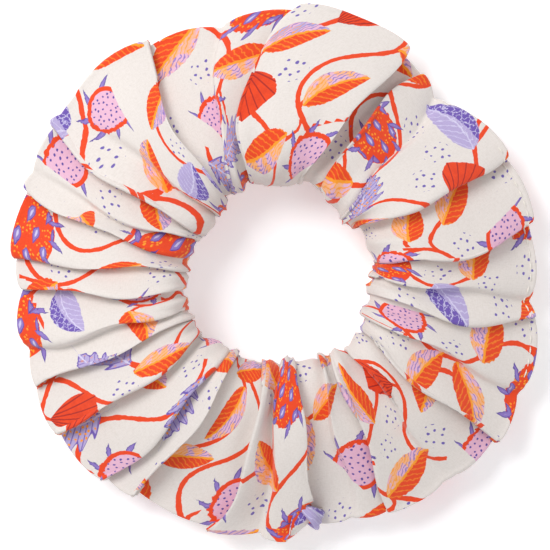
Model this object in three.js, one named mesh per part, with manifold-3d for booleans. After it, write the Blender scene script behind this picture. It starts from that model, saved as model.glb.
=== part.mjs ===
// A gathered hair scrunchie lying flat: a ring of pleated cloth tube round a loop of braided elastic.
//
// Millimetres, +Z up. The ring rests on z = 0 with its hole's axis on Z, and the origin is under its
// centre. The cloth tube is one strip, sewn along its outer edge, and it opens in X as the elastic
// stretches, so the tube, the elastic and the long seam are each made as a left and a right half.

import * as THREE from 'three';
import { mergeVertices } from 'three/addons/utils/BufferGeometryUtils.js';
import Module from 'manifold-3d';

const wasm = await Module();
wasm.setup();

// ---- driving dimensions -------------------------------------------------------------------------

// The ring of gathered cloth
const ringAcrossX = 127; // outer edge to outer edge
const ringAcrossY = 131;
const holeAcrossX = 45; // inner edge to inner edge
const holeAcrossY = 42;
const ringHeight = 25; // highest crest of the pleats
const edgeHeight = 9; // height of the sewn outer edge
const pleatCount = 22; // an even number keeps the ring balanced about its centre
const pleatDepth = 2.4; // how far the outer edge falls back between pleats
const pleatRise = 2.6; // how far the top sinks between pleats
const splitGap = 0.3; // between the two halves of the cloth

// The elastic, a flat braid standing on its edge inside the inner gathers
const elasticWidth = 7;
const elasticThickness = 1;
const elasticInset = 4.2; // cloth gathered between the hole and the elastic
const elasticLift = 8; // lower edge of the elastic above the table
const elasticOverlap = 12; // the two sewn ends, one over the other
const elasticJoinAngle = -28; // degrees, middle of the overlap
const elasticClearance = 0.4; // between the elastic and the cloth round it

// The threads
const threadRadius = 0.3;
const threadClearance = 0.3;
const seamInset = 3.2; // the long seam, in from where the outer edge falls back
const closingInset = 2.2; // the closing topstitch, in from the same line
const closingStart = -22; // degrees, the stretch left open for turning and then topstitched
const closingEnd = 32;
const endSeamAngle = 8; // degrees, where the strip's short ends are joined
const endSeamInset = 2.6; // the end seam's thread, in from the cloth's surface
const tackRows = 5; // zigzags in the tack that joins the elastic

// Fineness
const stepsPerPleat = 6;
const sectionPoints = 7; // points on each curve of the tube's section
const arcStep = 6; // degrees between stations on the elastic and the seams

// ---- small helpers ------------------------------------------------------------------------------

const radians = THREE.MathUtils.degToRad;

function toManifold(geometry) {
  const bare = geometry.index ? geometry.clone() : geometry;
  bare.deleteAttribute('normal');
  bare.deleteAttribute('uv');
  const merged = mergeVertices(bare, 1e-4);
  return new wasm.Manifold(new wasm.Mesh({
    numProp: 3,
    vertProperties: new Float32Array(merged.attributes.position.array),
    triVerts: new Uint32Array(merged.index.array),
  }));
}

function toGeometry(manifold) {
  const mesh = manifold.getMesh();
  const geometry = new THREE.BufferGeometry();
  geometry.setAttribute('position', new THREE.BufferAttribute(mesh.vertProperties, 3));
  geometry.setIndex(new THREE.BufferAttribute(mesh.triVerts, 1));
  geometry.computeVertexNormals();
  return geometry;
}

// An arc of an ellipse round Z, whose radii and height may change along it.
class RingArc extends THREE.Curve {
  constructor(radiusX, radiusY, height, startDegrees, endDegrees, offset = () => 0) {
    super();
    Object.assign(this, { radiusX, radiusY, height, offset });
    this.start = radians(startDegrees);
    this.end = radians(endDegrees);
  }

  getPoint(t, target = new THREE.Vector3()) {
    const angle = THREE.MathUtils.lerp(this.start, this.end, t);
    const out = this.offset(t);
    return target.set(
      Math.cos(angle) * (this.radiusX + out),
      Math.sin(angle) * (this.radiusY + out),
      this.height,
    );
  }

  get steps() {
    return Math.max(3, Math.ceil(Math.abs(this.end - this.start) / radians(arcStep)));
  }
}

// A section of the given height and thickness swept along an arc; it stands on its edge.
function sweepStrip(curve, height, thickness) {
  const section = new THREE.Shape([
    new THREE.Vector2(-height / 2, -thickness / 2),
    new THREE.Vector2(height / 2, -thickness / 2),
    new THREE.Vector2(height / 2, thickness / 2),
    new THREE.Vector2(-height / 2, thickness / 2),
  ]);
  return new THREE.ExtrudeGeometry(section, {
    steps: curve.steps, extrudePath: curve, bevelEnabled: false,
  });
}

function sweepThread(curve, radius, steps = curve.steps) {
  const section = new THREE.Shape();
  section.absarc(0, 0, radius, 0, 2 * Math.PI);
  return new THREE.ExtrudeGeometry(section, {
    steps, extrudePath: curve, bevelEnabled: false, curveSegments: 3,
  });
}

// ---- the cloth tube -----------------------------------------------------------------------------

const tubeWidth = (ringAcrossX - holeAcrossX) / 2;
const flatFrom = 0.16; // share of the tube's width where the underside meets the table
const flatTo = 0.9;
const crestAt = 0.34; // share of the tube's width where the pleats stand highest
const innerEdgeShare = 0.46; // height of the inner edge as a share of the ring's height

// The tube's section: x is the share of its width from the hole outwards, y the height.
function tubeSection() {
  const innerHeight = innerEdgeShare * ringHeight;
  const outline = new THREE.Path();
  outline.moveTo(flatFrom, 0);
  outline.lineTo(flatTo, 0);
  outline.quadraticCurveTo(1, 0.25 * edgeHeight, 1, edgeHeight);
  outline.bezierCurveTo(0.86, edgeHeight + 4, 0.62, ringHeight, crestAt, ringHeight);
  outline.quadraticCurveTo(0.02, ringHeight, 0, innerHeight);
  outline.quadraticCurveTo(0, 0, flatFrom, 0);
  return outline.getPoints(sectionPoints);
}

// Height of the tube's upper surface at a share of its width, on a pleat's ridge.
function topHeight(share) {
  const outline = tubeSection();
  let height = 0;
  for (let i = 1; i < outline.length; i += 1) {
    const [a, b] = [outline[i - 1], outline[i]];
    if ((a.x - share) * (b.x - share) <= 0 && a.x !== b.x) {
      height = Math.max(height, THREE.MathUtils.mapLinear(share, a.x, b.x, a.y, b.y));
    }
  }
  return height;
}

// 1 on a pleat's ridge, falling slowly to 0 and rising again at its overlapping edge.
function pleatWave(angle) {
  const turns = (angle * pleatCount) / (2 * Math.PI);
  const share = turns - Math.floor(turns);
  return share < 0.7 ? share / 0.7 : (1 - share) / 0.3;
}

function ringPoint(angle, share, height) {
  const fold = pleatWave(angle) - 1;
  const outward = pleatDepth * fold * share;
  const across = THREE.MathUtils.lerp(holeAcrossX, ringAcrossX, share) / 2 + outward;
  const deep = THREE.MathUtils.lerp(holeAcrossY, ringAcrossY, share) / 2 + outward;
  const sink = pleatRise * fold * (height / ringHeight);
  return new THREE.Vector3(Math.cos(angle) * across, Math.sin(angle) * deep, height + sink);
}

function clothRing() {
  const profile = tubeSection().map(
    (point) => new THREE.Vector2(holeAcrossX / 2 + point.x * tubeWidth, point.y),
  );
  const ring = new THREE.LatheGeometry(profile, pleatCount * stepsPerPleat);
  ring.rotateX(Math.PI / 2);
  const place = ring.attributes.position;
  for (let i = 0; i < place.count; i += 1) {
    const radius = Math.hypot(place.getX(i), place.getY(i));
    const angle = Math.atan2(place.getY(i), place.getX(i));
    const share = (radius - holeAcrossX / 2) / tubeWidth;
    const moved = ringPoint(angle, share, place.getZ(i));
    place.setXYZ(i, moved.x, moved.y, moved.z);
  }
  return toManifold(ring);
}

// ---- the elastic --------------------------------------------------------------------------------

const elasticRadiusX = holeAcrossX / 2 + elasticInset;
const elasticRadiusY = holeAcrossY / 2 + elasticInset;
const elasticMiddle = elasticLift + elasticWidth / 2;
const plyOffset = (elasticThickness + threadClearance) / 2;
const overlapHalf = THREE.MathUtils.radToDeg(elasticOverlap / (elasticRadiusX + elasticRadiusY));
const splitHalf = THREE.MathUtils.radToDeg(splitGap / 2 / elasticRadiusY);

// A half loop keeps to the middle of its channel and steps aside at its sewn end.
function elasticArc(from, to, side) {
  const stepAside = (t) => side * plyOffset * THREE.MathUtils.smoothstep(t, 0.15, 0.5);
  return new RingArc(elasticRadiusX, elasticRadiusY, elasticMiddle, from, to, stepAside);
}

const leftLoop = elasticArc(90 + splitHalf, 270 - splitHalf, 0);
const upperLoop = elasticArc(90 - splitHalf, elasticJoinAngle - overlapHalf, -1);
const lowerLoop = elasticArc(-90 + splitHalf, elasticJoinAngle + overlapHalf, 1);

// The tack is a zigzag of thread up and down across the overlapped ends, on their outer face.
class TackPath extends THREE.Curve {
  getPoint(t, target = new THREE.Vector3()) {
    const angle = radians(elasticJoinAngle + overlapHalf * 0.7 * (2 * t - 1));
    const swing = 1 - 2 * Math.abs((t * tackRows) % 2 - 1);
    const out = plyOffset + elasticThickness / 2 + threadClearance + threadRadius;
    return target.set(
      Math.cos(angle) * (elasticRadiusX + out),
      Math.sin(angle) * (elasticRadiusY + out),
      elasticMiddle + swing * (elasticWidth / 2 - 1),
    );
  }
}

function elasticChannel() {
  const height = elasticWidth + 2 * elasticClearance;
  const reach = plyOffset + elasticThickness / 2 + threadClearance + 2 * threadRadius + elasticClearance;
  const channel = new RingArc(elasticRadiusX, elasticRadiusY, elasticMiddle, 0, 360);
  const profile = [
    [-reach, -height / 2], [reach, -height / 2], [reach, height / 2], [-reach, height / 2],
    [-reach, -height / 2],
  ].map(([out, up]) => new THREE.Vector2(elasticRadiusX + out, elasticMiddle + up));
  const ring = new THREE.LatheGeometry(profile, channel.steps);
  ring.rotateX(Math.PI / 2);
  const place = ring.attributes.position;
  for (let i = 0; i < place.count; i += 1) {
    const radius = Math.hypot(place.getX(i), place.getY(i));
    const squeeze = (radius + elasticRadiusY - elasticRadiusX) / radius;
    place.setY(i, place.getY(i) * squeeze);
  }
  return toManifold(ring);
}

// ---- the seams ----------------------------------------------------------------------------------

// A line of stitches that runs round the outer edge at one distance in from it.
function edgeArc(inset, height, from, to) {
  const radiusX = ringAcrossX / 2 - pleatDepth - inset;
  const radiusY = ringAcrossY / 2 - pleatDepth - inset;
  return new RingArc(radiusX, radiusY, height, from, to);
}

const seamHeight = edgeHeight - pleatRise;
const seamSplit = THREE.MathUtils.radToDeg(splitGap / ringAcrossX);
const seamMargin = 1.5; // degrees from the closing stitches to the long seam, and past each blind end
const seamStretches = {
  long_seam_left: [90 + seamSplit, 270 - seamSplit],
  long_seam_upper: [closingEnd + seamMargin, 90 - seamSplit],
  long_seam_lower: [-90 + seamSplit, closingStart - seamMargin],
};

const closingShare = 1 - (closingInset + pleatDepth) / tubeWidth;
const closingHeight = topHeight(closingShare) - pleatRise;

const elasticTop = elasticLift + elasticWidth;
const elasticShare = elasticInset / tubeWidth;
const underCloth = (share) => topHeight(share) - pleatRise - endSeamInset;
const endSeamStations = [
  [elasticShare, elasticTop + 2 * elasticClearance + threadRadius],
  ...[0.2, 0.34, 0.5, 0.66, 0.8].map((share) => [share, underCloth(share)]),
];
// The end seam's stitches cross the tube under its upper layer, from the elastic to the outer edge.
const endSeam = new THREE.CatmullRomCurve3(endSeamStations.map(([share, height]) => {
  const place = ringPoint(radians(endSeamAngle), share, 0);
  return new THREE.Vector3(place.x, place.y, height);
}));
const endSeamSteps = 16;

// Room for a thread inside the cloth: the thread's own path, wider and a little longer.
function threadChannel(curve, steps) {
  const radius = threadRadius + threadClearance;
  let channel = toManifold(sweepThread(curve, radius, steps));
  for (const t of [0, 1]) {
    const end = new THREE.SphereGeometry(radius, 8, 6);
    const place = curve.getPoint(t);
    end.translate(place.x, place.y, place.z);
    channel = channel.add(toManifold(end));
  }
  return channel;
}

// The end seam's channel starts in the elastic's.
function endSeamOpening() {
  const radius = threadRadius + threadClearance;
  const opening = new THREE.BoxGeometry(2 * radius, 2 * radius, 4 * radius);
  const place = endSeam.getPoint(0);
  opening.translate(place.x, place.y, place.z - 2 * radius);
  return toManifold(opening);
}

// The closing stitches lie in a groove that is open upwards.
function closingGroove() {
  const bottom = closingHeight - threadRadius - threadClearance;
  const height = ringHeight - bottom;
  const arc = edgeArc(closingInset, bottom + height / 2, closingStart - seamMargin, closingEnd + seamMargin);
  return sweepStrip(arc, height, 2 * (threadRadius + threadClearance));
}

// ---- assembly -----------------------------------------------------------------------------------

const finishes = {
  cloth: { color: 0xe9e3db, roughness: 0.85, metalness: 0 },
  elastic: { color: 0xf2efe8, roughness: 0.7, metalness: 0 },
  thread: { color: 0xf6f1e6, roughness: 0.6, metalness: 0 },
};

const scrunchie = new THREE.Group();

function addPiece(name, geometry, finish) {
  const piece = new THREE.Mesh(geometry, new THREE.MeshStandardMaterial(finishes[finish]));
  piece.name = name;
  scrunchie.add(piece);
}

// One half of the cloth ring: the part to the left (-1) or right (+1) of the split.
function clothHalf(cloth, side) {
  const reach = ringAcrossX;
  const half = new THREE.BoxGeometry(reach, 2 * ringAcrossY, 4 * ringHeight);
  half.translate((side * (reach + splitGap)) / 2, 0, 0);
  return toGeometry(cloth.intersect(toManifold(half)));
}

const seamArcs = Object.entries(seamStretches).map(
  ([name, [from, to]]) => [name, edgeArc(seamInset, seamHeight, from, to)],
);

let cloth = clothRing().subtract(elasticChannel()).subtract(toManifold(closingGroove()));
for (const [, arc] of seamArcs) {
  cloth = cloth.subtract(threadChannel(arc, arc.steps));
}
cloth = cloth.subtract(threadChannel(endSeam, endSeamSteps)).subtract(endSeamOpening());

addPiece('cover_left', clothHalf(cloth, -1), 'cloth');
addPiece('cover_right', clothHalf(cloth, 1), 'cloth');

addPiece('elastic_left', sweepStrip(leftLoop, elasticWidth, elasticThickness), 'elastic');
addPiece('elastic_upper_end', sweepStrip(upperLoop, elasticWidth, elasticThickness), 'elastic');
addPiece('elastic_lower_end', sweepStrip(lowerLoop, elasticWidth, elasticThickness), 'elastic');
addPiece('elastic_tack', sweepThread(new TackPath(), threadRadius, 4 * tackRows), 'thread');

for (const [name, arc] of seamArcs) {
  addPiece(name, sweepThread(arc, threadRadius), 'thread');
}
addPiece('end_seam', sweepThread(endSeam, threadRadius, endSeamSteps), 'thread');
const closingArc = edgeArc(closingInset, closingHeight, closingStart, closingEnd);
addPiece('closing_stitch', sweepThread(closingArc, threadRadius), 'thread');

export default scrunchie;
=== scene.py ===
import math
from collections import namedtuple

import bpy
import numpy as np
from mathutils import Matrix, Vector, kdtree, noise


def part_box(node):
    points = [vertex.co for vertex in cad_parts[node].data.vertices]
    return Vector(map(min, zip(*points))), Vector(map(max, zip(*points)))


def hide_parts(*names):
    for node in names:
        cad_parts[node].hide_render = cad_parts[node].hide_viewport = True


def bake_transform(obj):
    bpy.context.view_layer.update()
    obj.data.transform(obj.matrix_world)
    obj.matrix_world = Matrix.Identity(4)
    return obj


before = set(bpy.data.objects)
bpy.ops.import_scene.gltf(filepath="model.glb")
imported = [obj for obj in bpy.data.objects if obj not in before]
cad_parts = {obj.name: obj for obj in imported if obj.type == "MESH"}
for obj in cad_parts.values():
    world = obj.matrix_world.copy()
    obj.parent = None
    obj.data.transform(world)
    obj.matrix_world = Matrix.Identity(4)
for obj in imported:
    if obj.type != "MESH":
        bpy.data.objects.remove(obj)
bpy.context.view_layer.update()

bl_info = {
    "name": "Gathered Scrunchie",
    "version": (1, 0, 0),
    "blender": (4, 5, 0),
    "location": "3D View > Sidebar > Scrunchie",
    "description": "Builds a pleated cotton scrunchie round its packed frame",
    "category": "Object",
}

MM = 0.001
ELASTIC_LOW, ELASTIC_HIGH = (Vector(corner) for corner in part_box("elastic_left"))


# ---- the folds -----------------------------------------------------------------------------------

# One pleat. Its ridge runs from the hole to the outer edge through three angles, in degrees
# anticlockwise from +X. lean is +1 where the ridge hangs over its anticlockwise neighbour and -1 where
# it hangs over its clockwise one. lap is how far it hangs over, in mm, and a negative lap opens the pleat
# into a soft wave. drop is how far the valley beside the ridge lies below it, as a share of the pleats'
# full height. Both are given at the hole and at the outer edge. rise is the ridge's own height as such
# a share, and reach and bore are how far the outer edge and the hole's edge lie from their middles, in mm.
Fold = namedtuple("Fold", "inner middle outer lean lap_in lap_out drop_in drop_out rise reach bore")

FOLDS = [
    Fold(4, 5, 12, -1, 1.6, 4.5, 0.77, 0.54, 1.00, 64.6, 22.2),
    Fold(29, 25, 28, -1, 1.6, 5.5, 0.85, 0.60, 1.05, 64.4, 20.2),
    Fold(44, 44, 45, 1, 0.8, -3.5, 0.5, 0.35, 0.80, 60.5, 18.6),
    Fold(64, 61, 54, 1, 1.4, 2.5, 0.68, 0.36, 0.80, 61.6, 20.8),
    Fold(79, 64, 60, -1, 1.6, 5.0, 0.85, 0.60, 1.05, 65.2, 21.4),
    Fold(112, 101, 84, 1, 1.6, 3.5, 0.77, 0.54, 1.00, 66.8, 22.9),
    Fold(122, 110, 100, 1, 1.2, -3.0, 0.7, 0.3, 0.75, 64.2, 21.8),
    Fold(130, 125, 118, -1, 1.5, 2.5, 0.77, 0.36, 1.00, 66.0, 22.1),
    Fold(142, 139, 137, 1, 1.5, -6.0, 0.8, 0.06, 0.95, 66.4, 21.3),
    Fold(156, 152, 146, 1, 1.6, 5.5, 0.85, 0.60, 1.05, 66.6, 21.5),
    Fold(163, 160, 153, 1, 1.2, -3.5, 0.7, 0.15, 0.85, 65.6, 22.0),
    Fold(172, 167, 160, 1, 1.6, 5.5, 0.85, 0.60, 0.95, 65.6, 23.4),
    Fold(181, 178, 176, 1, 1.4, 3.0, 0.68, 0.48, 0.90, 64.4, 23.2),
    Fold(192, 187, 182, 1, 1.4, 3.5, 0.77, 0.54, 0.95, 62.6, 24.6),
    Fold(201, 198, 194, 1, 1.2, -3.0, 0.7, 0.3, 0.90, 64.2, 25.4),
    Fold(209, 206, 205, 1, 1.5, 4.5, 0.77, 0.60, 0.95, 64.8, 25.1),
    Fold(219, 219, 215, 1, 1.6, 5.5, 0.85, 0.60, 1.05, 66.0, 25.9),
    Fold(234, 234, 230, 1, 1.4, 3.0, 0.68, 0.48, 0.95, 65.6, 24.0),
    Fold(243, 241, 237, 1, 1.5, 4.0, 0.77, 0.60, 0.95, 64.4, 23.0),
    Fold(256, 261, 254, -1, 1.5, 4.0, 0.77, 0.54, 1.00, 64.6, 23.0),
    Fold(267, 268, 269, -1, 1.2, -2.5, 0.7, 0.4, 0.90, 64.8, 22.6),
    Fold(277, 279, 281, 1, 1.5, 4.0, 0.77, 0.60, 1.00, 63.0, 22.4),
    Fold(290, 290, 290, -1, 1.2, -3.0, 0.6, 0.2, 0.80, 62.6, 22.6),
    Fold(298, 297, 296, -1, 1.4, 2.0, 0.68, 0.30, 0.90, 64.2, 23.4),
    Fold(308, 311, 312, -1, 1.5, -4.0, 0.9, 0.1, 0.90, 65.4, 24.2),
    Fold(320, 321, 324, -1, 1.6, 5.5, 0.85, 0.60, 1.05, 68.2, 24.2),
    Fold(331, 334, 337, -1, 1.2, -3.5, 0.7, 0.2, 0.85, 67.2, 21.6),
    Fold(344, 345, 351, -1, 1.4, 3.0, 0.77, 0.42, 0.90, 64.8, 21.2),
    Fold(354, 355, 358, -1, 1.0, -3.0, 0.6, 0.2, 0.85, 63.6, 21.2),
]
HOLE_SHIFT = np.array([2.2, 2.0]) # from the ring's middle to the hole's, in mm

# The tube's section on a ridge and in a valley: share of its width from the hole outwards, and height
# in mm, from the hole's edge over the top to the outer edge and back along the table.
RIDGE_SECTION = [
    (-0.020, 12.0), (0.010, 17.0), (0.100, 21.0), (0.280, 22.4), (0.500, 20.4), (0.700, 16.6),
    (0.870, 12.6), (0.965, 10.6), (0.992, 10.35), (1.000, 9.8), (0.992, 9.2), (0.965, 8.6),
    (0.870, 6.4), (0.700, 3.8), (0.500, 2.7), (0.280, 2.4), (0.100, 3.6), (0.010, 7.0),
]
VALLEY_SECTION = [
    (0.038, 10.5), (0.048, 14.0), (0.115, 16.4), (0.260, 15.9), (0.460, 12.6), (0.650, 9.2),
    (0.820, 6.4), (0.930, 5.1), (0.962, 4.9), (0.970, 4.4), (0.962, 3.9), (0.930, 3.2),
    (0.820, 1.5), (0.650, 0.8), (0.460, 0.6), (0.260, 0.7), (0.115, 2.2), (0.048, 6.0),
]
TIP = 9 # the outer edge's place in both sections
ROWS_BETWEEN = [4, 5, 6, 7, 7, 6, 4, 2, 2, 2, 2, 4, 6, 7, 7, 6, 5, 4] # rows from each place to the next


def closed_curve(points, samples_between):
    """Points along a closed Catmull-Rom curve, the given number between each pair of its own."""
    neighbours = [np.roll(points, shift, axis=0) for shift in (1, 0, -1, -2)]
    rows = []
    for a, b, c, d, count in zip(*neighbours, samples_between):
        t = (np.arange(count) / count)[:, None]
        rows.append(0.5 * (2 * b + (c - a) * t + (2 * a - 5 * b + 4 * c - d) * t ** 2
                           + (3 * b - a - 3 * c + d) * t ** 3))
    return np.concatenate(rows)


def smooth(t):
    return t * t * (3 - 2 * t)


def through(inner, middle, outer, share):
    """A value that runs through three stations across the tube's width."""
    share = np.clip(share, 0, 1)
    straight = inner + (middle - inner) * (share / 0.5)
    bow = 2 * (inner - 2 * middle + outer) * share * (share - 0.5)
    return straight + bow


def hermite(start, end, start_slope, end_slope, t):
    return (start + (end - start) * smooth(t) + start_slope * (t ** 3 - 2 * t ** 2 + t)
            + end_slope * (t ** 3 - t ** 2))


def toward(angle):
    """A step of 1 in this direction."""
    return np.stack([np.cos(angle), np.sin(angle)], axis=-1)


def turned(places, angle):
    """Flat places turned anticlockwise about the origin."""
    ahead = places[..., 0] * np.cos(angle) - places[..., 1] * np.sin(angle)
    aside = places[..., 0] * np.sin(angle) + places[..., 1] * np.cos(angle)
    return np.stack([ahead, aside], axis=-1)


def running_total(steps):
    return np.concatenate([[0], np.cumsum(steps)])


def distances_along(path):
    """How far along a path each of its points lies."""
    return running_total(np.linalg.norm(np.diff(path, axis=0), axis=1))


def points_at(wanted, distances, path, whole=None):
    """Points of a path at the wanted distances. A closed path's whole length is given too."""
    return np.stack([np.interp(wanted, distances, axis, period=whole) for axis in path.T], axis=-1)


# ---- the cloth's shape ---------------------------------------------------------------------------

PANEL_TURN = 0.4 # how strongly a panel rolls over at a hanging ridge, as a share of the pleats' height
LAP_TURN = 0.45 # the same for the short piece folded back under it
PANEL_STEP = 1.15 # mm of cloth between columns on a panel
PANEL_LEAST = 6 # columns on the narrowest panel
LAP_COLUMNS = 6
MEASURED_AT = 0.8 # how far out a panel's width is measured, as a share of its reach
MIDDLE_DROP = 0.72 # a valley's drop halfway out, as a share of the mean of its drops at the two edges
CRISP_LAP = 0.6 # mm: a pleat that hangs over less than this is rounder, down to a soft wave
SOFT_SPAN = 2.2 # mm of lap from a crisp pleat to a soft wave
TABLE_GAP = 0.35 # mm
CORNER_CUT = 0.6 # mm that a ridge's outer corner is rounded off, for a drop of 1
CORNER_WIDTH = 3.5
PANEL_BULGE = 1.3 # mm that a wide panel's edge bows out
WIDE_PANEL = 14.0 # mm: a panel narrower than this bows out less
HOLE_CUT = 1.5 # mm that a ridge stands back from the hole, for a drop of 1
HOLE_BULGE = 0.8 # mm that a panel bows into the hole
HOLE_PANEL = 8.0 # mm: a panel narrower than this at the hole does both less
VALLEY_SHORTER = 2.8 # mm by which a valley's outer edge lies inside its ridge's, for a drop of 1
RIDGE_WOBBLE = 1.5 # degrees that the ridges wander from side to side
WOBBLE_WAVES = 1.4 # such waves from the hole to the outer edge
WOBBLE_FADE = 0.6 # how much weaker they are at the outer edge
PHASE_STEP = 0.37 # of a wave, by which each pleat's waves differ from the last one's
SMOOTH_FROM = 0.6 # how far out the cloth lies smooth enough to be measured along the strip
GATHER_SHARE = 0.22 # how far out the gathers' waves reach, as a share of the tube's width
GATHER_LIFT = 0.16 # their height, as a share of the pleats' full height
GATHER_SWAY = 0.012 # radians that they swing from side to side
# each crimp's length along the strip and across it, its height, and how far out it reaches
CRIMPS = ((3.1, 14.0, 0.48, 0.34), (5.5, 11.0, 0.62, 0.70), (15.0, 22.0, 0.85, 9.0))
CRIMPS_APART = 20 # how far one crimp's noise lies from the next one's
END_FLAT = 6.0 # mm by the end seam without crimps
CURLED_FOLD = 21 # the pleat whose outer corner is turned up
CURL_DEPTH = 6.5 # mm of the corner that are rolled
CURL_RADIUS = 1.25
CURL_TURN = math.radians(165)
CURL_HEADING = math.radians(38) # from the pleat's own line towards the corner that rolls
CURL_FLATTENED = 0.8 # how much of the tube's height is pressed out of the roll


def fold_controls(shares):
    """Angles, heights, turns, softness, reaches, bores, corner cuts and notches of every ridge and
    valley, in order round the ring. The first four have a value for each row of cloth."""
    controls = []
    for number, fold in enumerate(FOLDS):
        waves = np.sin(2 * math.pi * (WOBBLE_WAVES * shares + PHASE_STEP * number))
        wobble = RIDGE_WOBBLE * waves * (1 - WOBBLE_FADE * shares)
        ridge = np.radians(through(fold.inner, fold.middle, fold.outer, shares) + wobble)
        radius = fold.bore + shares * (fold.reach - fold.bore)
        lap = fold.lap_in + (fold.lap_out - fold.lap_in) * shares
        drop_middle = MIDDLE_DROP * (fold.drop_in + fold.drop_out) / 2
        drop = through(fold.drop_in, drop_middle, fold.drop_out, shares)
        soft = smooth(np.clip((CRISP_LAP - lap) / SOFT_SPAN, 0, 1))
        valley = ridge - fold.lean * lap / radius
        level = fold.rise * np.ones_like(shares)
        turn = -fold.lean * (1 - soft) * drop
        shorter = fold.reach - VALLEY_SHORTER * fold.drop_out
        corner, notch = CORNER_CUT * fold.drop_out, HOLE_CUT * fold.drop_in
        pair = ((ridge, level, turn, soft, fold.reach, fold.bore, corner, notch),
                (valley, level - drop, turn, soft, shorter, fold.bore, 0, 0))
        controls += pair[::fold.lean]
    return [np.array(values) for values in zip(*controls)]


class ClothTube:
    """The gathered tube as a grid of places: columns along the strip, rows round the tube."""

    def __init__(self):
        ridge = closed_curve(RIDGE_SECTION, ROWS_BETWEEN)
        valley = closed_curve(VALLEY_SECTION, ROWS_BETWEEN)
        self.rows = len(ridge)
        self.tip_row = sum(ROWS_BETWEEN[:TIP])
        self.ridge, self.valley = ridge, valley
        self.shares = np.clip((ridge[:, 0] + valley[:, 0]) / 2, 0, 1)
        self.place_columns()
        self.measure_cloth()
        self.add_crimps()
        self.curl_corner()

    def place_columns(self):
        angles, heights, turns, softness, reaches, bores, corners, notches = fold_controls(self.shares)
        count = len(angles)
        gaps = np.roll(angles, -1, axis=0) - angles
        gaps[-1] += 2 * math.pi
        before = np.roll(gaps, 1, axis=0)
        both = np.where(before * gaps > 0, 2 * before * gaps / (before + gaps + 1e-9), 0)
        slopes = both * softness
        widths = np.minimum(gaps[:, 0] * bores / HOLE_PANEL, 1)
        for k in range(1, count, 2):
            notches[[k, (k + 1) % count]] *= widths[k]
        columns = []
        self.curled = [] # how much of each column rolls up with the turned corner
        for k in range(count):
            after = (k + 1) % count
            is_lap = k % 2 == 0
            edge_length = abs(float(np.median(gaps[k]))) * MEASURED_AT * reaches[k]
            steps = LAP_COLUMNS if is_lap else max(PANEL_LEAST, round(edge_length / PANEL_STEP))
            turn = LAP_TURN if is_lap else PANEL_TURN
            for t in np.arange(steps) / steps:
                angle = hermite(angles[k], angles[k] + gaps[k], slopes[k], slopes[after], t)
                height = hermite(heights[k], heights[after], turn * turns[k], turn * turns[after], t)
                blend = smooth(t)
                reach = reaches[k] + (reaches[after] - reaches[k]) * blend
                rounding = min(CORNER_WIDTH, edge_length)
                near, far = (min(part * edge_length / rounding, 1) for part in (t, 1 - t))
                reach -= corners[k] * (1 - smooth(near)) + corners[after] * (1 - smooth(far))
                bore = bores[k] + (bores[after] - bores[k]) * blend
                bore += notches[k] * (1 - blend) ** 3 + notches[after] * blend ** 3
                if not is_lap:
                    bow = math.sin(math.pi * t)
                    reach += PANEL_BULGE * min(edge_length / WIDE_PANEL, 1) * bow
                    bore -= widths[k] * HOLE_BULGE * bow
                    gather = bow * np.exp(-(self.shares / GATHER_SHARE) ** 2)
                    phase = 2 * math.pi * (2 * t + PHASE_STEP * k)
                    height = height + GATHER_LIFT * gather * math.sin(phase)
                    angle = angle + GATHER_SWAY * gather * math.cos(phase)
                columns.append(self.column(angle, height, reach, bore))
                on_lap = 1 - blend if k == 2 * CURLED_FOLD else 0
                self.curled.append(1 if k == 2 * CURLED_FOLD - 1 else on_lap)
        self.grid = np.array(columns)

    def add_crimps(self):
        """Small uneven wrinkles, deepest by the hole, where the cloth is gathered hardest."""
        whole = self.around[-1]
        turns = 2 * math.pi * self.around[:-1] / whole
        normals = np.stack([self.normals(row) for row in range(self.rows)], axis=1)
        along = self.along[:-1]
        flat = smooth(np.clip(np.minimum(along, self.along[-1] - along) / END_FLAT, 0, 1))
        height = np.zeros(self.grid.shape[:2])
        for number, (length, width, depth, extent) in enumerate(CRIMPS):
            ring = whole / (2 * math.pi) / width
            near_hole = np.exp(-(self.shares / extent) ** 2)
            for column, place in enumerate(along):
                for row, turn in enumerate(turns):
                    aside, upward = ring * math.cos(turn), ring * math.sin(turn)
                    spot = (place / length, aside, upward + CRIMPS_APART * number)
                    height[column, row] += depth * near_hole[row] * noise.noise(spot)
        height *= flat[:, None]
        self.grid += normals * height[..., None]
        self.grid[..., 2] = np.maximum(self.grid[..., 2], TABLE_GAP)

    def curl_corner(self):
        """One pleat's outer corner rolled up and back over itself."""
        fold = FOLDS[CURLED_FOLD]
        line = math.radians(fold.outer)
        heading = toward(line + CURL_HEADING)
        beyond = (self.grid[..., :2] - fold.reach * toward(line)) @ heading
        beyond = np.maximum(beyond + CURL_DEPTH, 0)
        beyond *= np.array(self.curled)[:, None]
        level = RIDGE_SECTION[TIP][1]
        pressed = 1 - CURL_FLATTENED * smooth(np.clip(beyond / CURL_DEPTH * 2, 0, 1))
        radius = CURL_RADIUS - (self.grid[..., 2] - level) * pressed
        turn = np.minimum(beyond / CURL_RADIUS, CURL_TURN)
        past = beyond - turn * CURL_RADIUS
        ahead = radius * np.sin(turn) + past * np.cos(turn)
        lift = CURL_RADIUS - radius * np.cos(turn) + past * np.sin(turn)
        rolled = beyond > 0
        self.grid[..., :2] += np.where(rolled, ahead - beyond, 0)[..., None] * heading
        self.grid[..., 2] = np.where(rolled, level + lift, self.grid[..., 2])

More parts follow.
